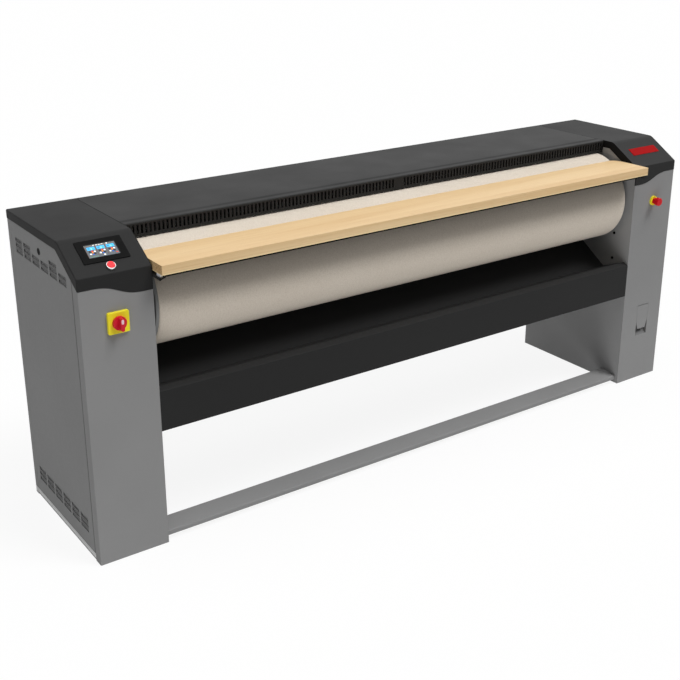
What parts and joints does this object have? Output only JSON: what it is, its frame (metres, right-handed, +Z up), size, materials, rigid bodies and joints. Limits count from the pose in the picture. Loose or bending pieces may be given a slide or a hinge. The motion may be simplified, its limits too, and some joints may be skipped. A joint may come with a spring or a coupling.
{
  "type": "flatwork ironer",
  "caption": "Floor-standing flatwork ironer: a padded roll between two grey cabinets, wooden feed board, heated chest behind, linen tray and foot bar.",
  "frame": {"origin": "on the floor, under the middle of the machine's box", "axes": "+X to the operator's right along the roll, +Y to the machine's back, +Z up"},
  "size_m": [2.6, 0.664, 1.03],
  "materials": {
    "frame_paint": "satin dark grey paint",
    "panel_paint": "fine textured mid grey paint",
    "side_paint": "fine textured grey paint",
    "cover_plastic": "matt moulded charcoal plastic",
    "cover_metal": "satin charcoal paint",
    "board_wood": "clear lacquered beech",
    "black_sheet": "satin black paint",
    "pad_plastic": "white",
    "black_plastic": "satin",
    "screen_glass": "glossy screen",
    "chrome_trim": "bright",
    "yellow_plastic": "satin",
    "red_plastic": "glossy",
    "badge_plastic": "bare satin plate",
    "cast_metal": "machined and painted",
    "steel": "machined",
    "black_steel": "blackened",
    "galvanised": "galvanised sheet",
    "foot_rubber": "matt",
    "roll_cloth": "woven cotton over padding",
    "chest_aluminium": "polished inside",
    "foot_paint": "satin grey paint"
  },
  "bodies": {
    "machine": {"left_cabinet_frame": "frame_paint", "right_cabinet_frame": "frame_paint", "left_front_panel": "panel_paint", "right_front_panel": "panel_paint", "left_side_panel": "side_paint", "right_side_panel": "side_paint", "left_rear_panel": "side_paint", "right_rear_panel": "side_paint", "left_top_cover": "cover_plastic", "right_top_cover": "cover_plastic", "centre_top_cover": "cover_metal", "vent_grille": "cover_metal", "middle_rear_panel": "cover_metal", "feed_board": "board_wood", "board_carrier": "black_sheet", "board_brackets": "black_sheet", "board_pads": "pad_plastic", "chute_tray": "black_sheet", "front_cross_beam": "frame_paint", "rear_cross_beam": "frame_paint", "top_cross_beam": "frame_paint", "display_bezel": "black_plastic", "display_screen": "screen_glass", "stop_button_ring": "chrome_trim", "switch_plate": "yellow_plastic", "isolator_body": "black_plastic", "estop_collar": "yellow_plastic", "estop_contact_block": "black_plastic", "badge_plate": "badge_plastic", "hatch_pocket": "black_plastic", "gearmotor": "cast_metal", "left_roll_bearing": "cast_metal", "right_roll_bearing": "cast_metal", "drive_chain": "steel", "exhaust_fan_housing": "galvanised", "fan_motor": "cast_metal", "exhaust_duct": "galvanised", "electrical_plate": "galvanised", "drive_inverter": "black_plastic", "press_actuator": "steel", "pedal_switch": "black_plastic", "levelling_feet": "foot_rubber", "wall_screws": "black_steel"},
    "roll": {"roll_drum": "steel", "roll_padding": "roll_cloth", "roll_sprocket": "steel"},
    "drive_shaft": {"drive_sprocket": "steel"},
    "worm": {"worm_shaft": "steel"},
    "chest": {"heated_chest": "chest_aluminium", "chest_heaters": "steel", "chest_pivot_shaft": "steel"},
    "actuator_rod": {"press_actuator_rod": "steel"},
    "fan_rotor": {"fan_impeller": "galvanised"},
    "main_switch": {"switch_knob": "red_plastic"},
    "estop": {"estop_button": "red_plastic"},
    "stop_key": {"stop_button": "red_plastic"},
    "hatch": {"hatch_flap": "panel_paint"},
    "left_lock": {"left_panel_lock": "black_steel"},
    "right_lock": {"right_panel_lock": "black_steel"},
    "pedal": {"foot_bar": "foot_paint"}
  },
  "joints": [
    {"name": "roll_spin", "type": "hinge", "parent": "machine", "child": "roll", "pos_m": [0, -0.072, 0.802], "axis": [1, 0, 0], "continuous": true},
    {"name": "drive_shaft_spin", "type": "hinge", "parent": "machine", "child": "drive_shaft", "pos_m": [1.106, -0.122, 0.355], "axis": [1, 0, 0], "continuous": true},
    {"name": "worm_spin", "type": "hinge", "parent": "machine", "child": "worm", "pos_m": [1.187, -0.172, 0.285], "axis": [0, 1, 0], "continuous": true},
    {"name": "chest_press", "type": "hinge", "parent": "machine", "child": "chest", "pos_m": [0, 0.008, 0.43], "axis": [1, 0, 0], "range_deg": [0, 3.2]},
    {"name": "actuator_rod_slide", "type": "slide", "parent": "machine", "child": "actuator_rod", "axis": [0, 0, 1], "range_m": [0, 0.007]},
    {"name": "fan_spin", "type": "hinge", "parent": "machine", "child": "fan_rotor", "pos_m": [0, -0.072, 0.802], "axis": [1, 0, 0], "continuous": true},
    {"name": "main_switch_turn", "type": "hinge", "parent": "machine", "child": "main_switch", "pos_m": [-1.183, -0.272, 0.7965], "axis": [0, 1, 0], "range_deg": [0, 90]},
    {"name": "estop_press", "type": "slide", "parent": "machine", "child": "estop", "axis": [0, 1, 0], "range_m": [0, 0.006]},
    {"name": "stop_button_press", "type": "slide", "parent": "machine", "child": "stop_key", "axis": [0, 0.5191, -0.8547], "range_m": [0, 0.003], "stiffness_N_per_m": 800, "springref_m": -0.003},
    {"name": "hatch_flap_swing", "type": "hinge", "parent": "machine", "child": "hatch", "pos_m": [1.187, -0.267, 0.334], "axis": [-1, 0, 0], "range_deg": [0, 85]},
    {"name": "left_lock_turn", "type": "hinge", "parent": "machine", "child": "left_lock", "pos_m": [-1.299, 0.021, 0.958], "axis": [1, 0, 0], "range_deg": [0, 90]},
    {"name": "right_lock_turn", "type": "hinge", "parent": "machine", "child": "right_lock", "pos_m": [1.299, 0.021, 0.958], "axis": [1, 0, 0], "range_deg": [0, 90]},
    {"name": "foot_bar_press", "type": "hinge", "parent": "machine", "child": "pedal", "pos_m": [0, -0.251, 0.028], "axis": [1, 0, 0], "range_deg": [-8, 0], "stiffness_Nm_per_rad": 20, "springref_deg": 17.19}
  ],
  "couplings": [
    {"joint": "drive_shaft_spin", "follows": "roll_spin", "ratio": 3.8},
    {"joint": "worm_spin", "follows": "roll_spin", "ratio": 76},
    {"joint": "actuator_rod_slide", "follows": "chest_press", "m_per_rad": 0.12}
  ]
}
